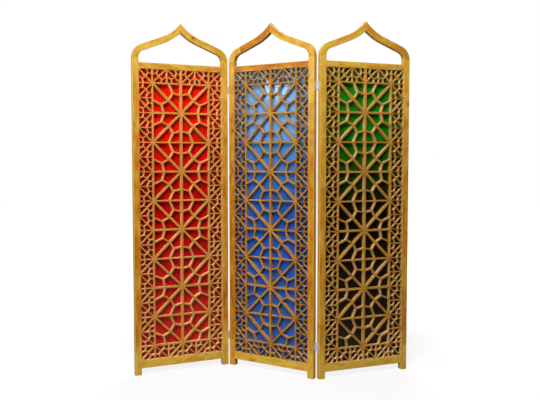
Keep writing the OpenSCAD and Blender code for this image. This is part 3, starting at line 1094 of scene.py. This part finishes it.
# ---- pane, beads and dowels
@dataclass
class Glazing(PanelPart):
    """The pane of one panel and the beads that hold it.

    Args:
        polished: Rounding of the pane's polished edges.
        bead_round: Rounding of the beads' inner edge.
        bead_ease: Rounding of the beads' other edges.
        end_length: Edges shorter than this are the beads' ends.
        grain: How the beads' grain lies.
    """

    polished: Arris = Arris(0.0004, 2)
    bead_round: Arris = Arris(0.0020, 4)
    bead_ease: Arris = Arris(0.0003, 1)
    end_length: float = 0.05
    grain: GrainLayer = GrainLayer(seed=37, pith_shift=0.03)

    def build(self) -> None:
        """Builds the pane and its beads."""
        self.build_pane()
        self.build_beads()

    def build_pane(self) -> None:
        """Builds the coloured pane, with polished edges."""
        piece, node = self.copy("pane", "polished")
        round_edges(piece, self.polished)
        smooth(piece)
        low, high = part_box(node)
        foot, waist, head = PANE_TINTS_AND_LIGHT[self.panel]
        settle(piece, node, AcrylicFinish(node, foot, waist, head, low.z, high.z))

    def build_beads(self) -> None:
        """Builds the four glazing beads, rounded towards the pane."""
        piece, node = self.copy("glazing_beads", "planed")
        limits = self.place.extent(node)
        back = limits[1][1]

        def faces_in(edge: Edge) -> bool:
            """Tells whether an edge at the back runs along a bead's inner side."""
            sides = ((axis, limit[axis]) for axis in (0, 2) for limit in limits)
            outside = any(self.place.holds(edge, *side) for side in sides)
            at_back = self.place.holds(edge, 1, back)
            return at_back and not outside and edge.calc_length() > self.end_length

        round_edges(piece, self.bead_round, faces_in)
        round_edges(piece, self.bead_ease)
        self.finish_wood(piece, node, self.grain, PALE_PINE)


@dataclass
class Dowels(PanelPart):
    """The dowels that join one panel's frame.

    Args:
        ends: Rounding of the dowels' ends.
        grain: How the grain lies.
    """

    ends: Arris = Arris(0.0008, 2)
    grain: GrainLayer = GrainLayer(seed=41, pith_shift=0.03)

    def build(self) -> None:
        """Builds the dowels, with rounded ends."""
        piece, node = self.copy("dowels", "turned")
        round_edges(piece, self.ends)
        self.finish_wood(piece, node, self.grain, PALE_PINE)


# ---- hinges
@dataclass
class FoldHinges:
    """The two butt hinges of one fold.

    Args:
        fold: Which fold.
        places: Where the outer panel and the middle panel stand.
        corner: Rounding of the leaves' free corners.
        ease: Rounding of the metal's other edges.
        recess_arm: Length of each arm of the cross in a screw's head.
        recess_width: Width of the cross's arms.
        recess_depth: Depth of the cross.
    """

    fold: Fold
    places: tuple[PanelPlace, PanelPlace]
    corner: Arris = Arris(0.0030, 5)
    ease: Arris = Arris(0.0002, 2)
    recess_arm: float = 0.0014
    recess_width: float = 0.0007
    recess_depth: float = 0.0008

    def build(self) -> None:
        """Builds the leaves, the pins and the screws."""
        for owner, place in zip(("panel", "middle"), self.places):
            self.build_leaves(owner + "_leaves", place)
            self.build_screws(owner + "_screws", place)
        self.finish(*self.copy("hinge_pins"))

    def copy(self, part: str) -> tuple[Piece, str]:
        """Copies a part's node, and gives the piece and the node."""
        node = self.fold.node(part)
        return copy_of_node(node, node + "_plated"), node

    def build_leaves(self, part: str, place: PanelPlace) -> None:
        """Builds the leaves on one panel, with their free corners rounded.

        Args:
            part: The leaves.
            place: Where the panel stands.
        """
        piece, node = self.copy(part)
        pin_low, pin_high = place.extent(self.fold.node("hinge_pins"))
        pin = (pin_low[1] + pin_high[1]) / 2
        free = max((limit[1] for limit in place.extent(node)), key=lambda y: abs(y - pin))

        def is_corner(edge: Edge) -> bool:
            """Tells whether an edge is a free corner of a leaf."""
            level = abs(edge.verts[0].co.z - edge.verts[1].co.z) < SAME_PLACE
            return level and place.holds(edge, 1, free)

        round_edges(piece, self.corner, is_corner)
        self.finish(piece, node)

    def build_screws(self, part: str, place: PanelPlace) -> None:
        """Builds the screws on one panel, with a cross cut into each head.

        Args:
            part: The screws.
            place: Where the panel stands.
        """
        piece, node = self.copy(part)
        points = place.local(mesh_points(piece.data))
        shanks = loose_parts(piece.data)
        away = np.sign(points[:, 0].mean())
        cutters = []
        for shank in range(shanks.max() + 1):
            low = points[shanks == shank].min(axis=0)
            high = points[shanks == shank].max(axis=0)
            head = (low + high) / 2
            head[0] = (high if away > 0 else low)[0]
            cutters.append(self.cross_cutter(place, Vector(head)))
        bpy.ops.object.select_all(action="DESELECT")
        for cutter in cutters:
            cutter.select_set(True)
        bpy.context.view_layer.objects.active = cutters[0]
        bpy.ops.object.join()
        cutter = bpy.context.object
        select_only(piece)
        bpy.ops.object.modifier_add(type="BOOLEAN")
        piece.modifiers[-1].object = cutter
        piece.modifiers[-1].operation = "DIFFERENCE"
        bpy.ops.object.modifier_apply(modifier=piece.modifiers[-1].name)
        bpy.data.objects.remove(cutter)
        self.finish(piece, node)

    def cross_cutter(self, place: PanelPlace, head: Vector) -> Piece:
        """Builds a cross that is sunk into a screw's head.

        Args:
            place: The panel that the screw is in.
            head: The middle of the head's face, in the panel's frame.

        Returns:
            The cross, turned and placed by its mesh.
        """
        bpy.ops.object.select_all(action="DESELECT")
        bpy.ops.mesh.primitive_cube_add(size=self.recess_width)
        cutter = bpy.context.object
        with editing(cutter):
            bpy.ops.mesh.select_all(action="SELECT")
            bpy.ops.transform.resize(value=(2 * self.recess_depth / self.recess_width, 1, 1))
            bpy.ops.mesh.select_all(action="DESELECT")
            bpy.ops.mesh.select_mode(type="FACE")
            mesh = bmesh.from_edit_mesh(cutter.data)
            # The four faces that don't look along x grow into the arms
            for face in mesh.faces:
                face.select_set(round(abs(face.normal.x)) == 0)
            bmesh.update_edit_mesh(cutter.data)
            bpy.ops.mesh.extrude_faces_indiv()
            bpy.ops.transform.shrink_fatten(value=self.recess_arm - self.recess_width / 2)
        cutter.matrix_world = place.matrix() @ Matrix.Translation(head)
        select_only(cutter)
        bpy.ops.object.transform_apply(location=True, rotation=True, scale=True)
        return cutter

    def finish(self, piece: Piece, node: str) -> None:
        """Eases a metal piece's other edges and gives it its plating."""
        round_edges(piece, self.ease)
        smooth(piece)
        settle(piece, node, ZINC)


# ---- the studio
@dataclass(frozen=True)
class SoftBox:
    """A large soft lamp.

    Args:
        name: The lamp's name.
        place: Where it stands.
        aim: The point that it looks at.
        size: Side of its square.
        power: Its power in watts.
        tint: Its colour.
        mirrored: Whether glossy surfaces show it.
    """

    name: str
    place: Triple
    aim: Triple
    size: float
    power: float
    tint: Triple
    mirrored: bool = True

    def build(self) -> None:
        """Builds the lamp."""
        lamp = bpy.data.lights.new(self.name, "AREA")
        lamp.shape = "SQUARE"
        lamp.size = self.size
        lamp.energy = self.power
        lamp.color = self.tint
        holder = bpy.data.objects.new(self.name, lamp)
        bpy.context.scene.collection.objects.link(holder)
        holder.visible_glossy = self.mirrored
        holder.location = self.place
        look = Vector(self.aim) - Vector(self.place)
        holder.rotation_euler = look.to_track_quat("-Z", "Y").to_euler()


WARM = (1.0, 0.98, 0.95)
COOL = (0.94, 0.97, 1.0)


@dataclass
class Studio:
    """The floor, the soft lamps, the white surroundings and the camera.

    Args:
        camera_place: Where the camera stands.
        camera_tip: How far it looks down.
        focal_pixels: Its focal length, in pixels of the photograph.
        floor_radius: Radius of the floor.
        floor_colour: Grey of the floor.
        floor_glow: Light that the floor adds under the screen, so that it looks near white.
        floor_mirror: Share of that glow that a gloss mirrors.
        glow_reach: How far from the screen that glow starts to change, and where it has changed.
        ambient: Strength of the light from all round.
        sky_levels: Share of that light from below and from above.
        sky_heights: Upward slopes between which it goes from one to the other.
        room: How bright the side of the room behind the camera looks in a reflection.
        room_edge: Backward slopes between which the room turns white.
    """

    camera_place: Triple = (-0.0112, -3.5920, 1.1133)
    camera_tip: float = 0.0595
    focal_pixels: float = 695.0
    floor_radius: float = 14.0
    floor_colour: float = 0.17
    floor_glow: float = 0.785
    floor_mirror: float = 0.25
    glow_reach: Span = (0.9, 2.0)
    ambient: float = 0.07
    sky_levels: Span = (0.1, 2.0)
    sky_heights: Span = (-0.1, 1.0)
    room: float = 0.03
    room_edge: Span = (0.0, 0.35)
    lamps: tuple[SoftBox, ...] = (
        SoftBox("key_softbox", (-0.4, -3.0, 4.6), (0.0, 0.0, 0.9), 2.0, 286.0, WARM),
        SoftBox("side_softbox", (-2.2, -2.8, 0.7), (0.0, 0.0, 0.5), 1.0, 42.0, WARM, False),
        SoftBox("back_softbox", (0.8, 3.2, 4.4), (0.0, 0.0, 0.8), 2.0, 150.0, WARM, False),
        SoftBox("left_wall", (-2.65, -1.42, 1.66), (0.0, 0.0, 1.4), 0.80, 7.0, COOL),
        SoftBox("left_window", (-2.60, -1.42, 1.78), (0.0, 0.0, 1.5), 0.22, 2.2, COOL),
    )

    def build(self) -> None:
        """Builds the whole studio."""
        self.build_camera()
        self.build_floor()
        self.build_world()
        for lamp in self.lamps:
            lamp.build()
        bpy.context.scene.view_settings.view_transform = "Standard"

    def build_camera(self) -> None:
        """Builds the camera at the photograph's viewing angle."""
        lens = bpy.data.cameras.new("camera")
        lens.lens = self.focal_pixels * lens.sensor_width / IMAGE_WIDTH
        camera = bpy.data.objects.new("camera", lens)
        bpy.context.scene.collection.objects.link(camera)
        camera.location = self.camera_place
        camera.rotation_euler = (math.pi / 2 - self.camera_tip, 0, 0)
        bpy.context.scene.camera = camera

    def build_floor(self) -> None:
        """Builds the pale floor, which keeps the screen's shadow and turns white further out."""
        bpy.ops.object.select_all(action="DESELECT")
        bpy.ops.mesh.primitive_circle_add(vertices=64, radius=self.floor_radius, fill_type="NGON")
        floor = bpy.context.object
        floor.name = "floor"
        sheet, shader = new_material("floor paint")
        at = sheet.add("TexCoord").outputs["Object"]
        away = sheet.vector("LENGTH", at)
        bright = sheet.ramp(away, self.glow_reach, (self.floor_glow, 1.0))
        faint = sheet.ramp(away, self.glow_reach, (self.floor_mirror * self.floor_glow, 0.0))
        seen, mirrored = sheet.ray_masks()
        glow = sheet.plus(sheet.maths("MULTIPLY", seen, bright), mirrored, faint)
        sheet.feed(shader, {
            "Base Color": (*[self.floor_colour] * 3, 1), "Roughness": 0.9,
            "Specular IOR Level": 0.1, "Emission Color": WHITE, "Emission Strength": glow,
        })
        floor.data.materials.append(bpy.data.materials["floor paint"])

    def build_world(self) -> None:
        """Builds surroundings that are white to the camera, and softly lit from above."""
        world = bpy.data.worlds.new("studio")
        bpy.context.scene.world = world
        world.use_nodes = True
        sheet = Sheet(world.node_tree)
        background = world.node_tree.nodes["Background"]
        way = sheet.add("SeparateXYZ", {"Vector": sheet.add("TexCoord").outputs["Generated"]})
        above = sheet.ramp(way.outputs["Z"], self.sky_heights, self.sky_levels)
        soft = sheet.maths("MULTIPLY", above, self.ambient)
        behind = sheet.ramp(way.outputs["Y"], self.room_edge, (self.room, 1.0))
        seen, mirrored = sheet.ray_masks()
        level = sheet.mix(mirrored, soft, behind)
        sheet.feed(background, {"Color": sheet.mix(seen, level, WHITE), "Strength": 1.0})


# ---- the whole screen
# Tones of each board and lattice: partly the wood's own, partly painted light and shade; the
# middle panel's darker lattice and boards stand in for its shaded lattice sides
TIMBERS: dict[Panel, Timber] = {
    Panel.LEFT: Timber(
        {
            Side.LEFT: ArchLengths(joint=0.060, foot_tone=0.0, tip_tone=0.15),
            Side.RIGHT: ArchLengths(joint=0.120, foot_tone=0.35, tip_tone=0.20),
        },
        {"top_rail": 0.15, "bottom_rail": -0.15, "left_stile": 0.10},
        lattice=-0.45,
    ),
    Panel.MIDDLE: Timber(
        {
            Side.LEFT: ArchLengths(joint=0.182, foot_tone=0.15, tip_tone=1.0),
            Side.RIGHT: ArchLengths(joint=0.150, foot_tone=0.15, tip_tone=0.05),
        },
        {"top_rail": 0.95, "left_stile": 0.45, "right_stile": -0.05},
        lattice=1.35,
    ),
    Panel.RIGHT: Timber(
        {
            Side.LEFT: ArchLengths(joint=0.165, foot_tone=0.0, tip_tone=0.15),
            Side.RIGHT: ArchLengths(joint=0.132, foot_tone=0.50, tip_tone=0.15),
        },
        {"top_rail": -0.05, "bottom_rail": -0.35, "left_stile": -0.32, "right_stile": -0.05},
        lattice=0.45,
    ),
}


def main() -> None:
    """Builds the screen, panel by panel and fold by fold, and then its studio."""
    logging.basicConfig(level=logging.INFO, format="%(name)s: %(message)s")
    places = {panel: PanelPlace.of(panel) for panel in Panel}
    for panel, place in places.items():
        PanelFrame(panel, place, TIMBERS[panel]).build()
        StarLattice(panel, place, TIMBERS[panel].lattice).build()
        Glazing(panel, place).build()
        Dowels(panel, place).build()
    FoldHinges(Fold.LEFT, (places[Panel.LEFT], places[Panel.MIDDLE])).build()
    FoldHinges(Fold.RIGHT, (places[Panel.RIGHT], places[Panel.MIDDLE])).build()
    Studio().build()


if __name__ == "__main__":
    main()
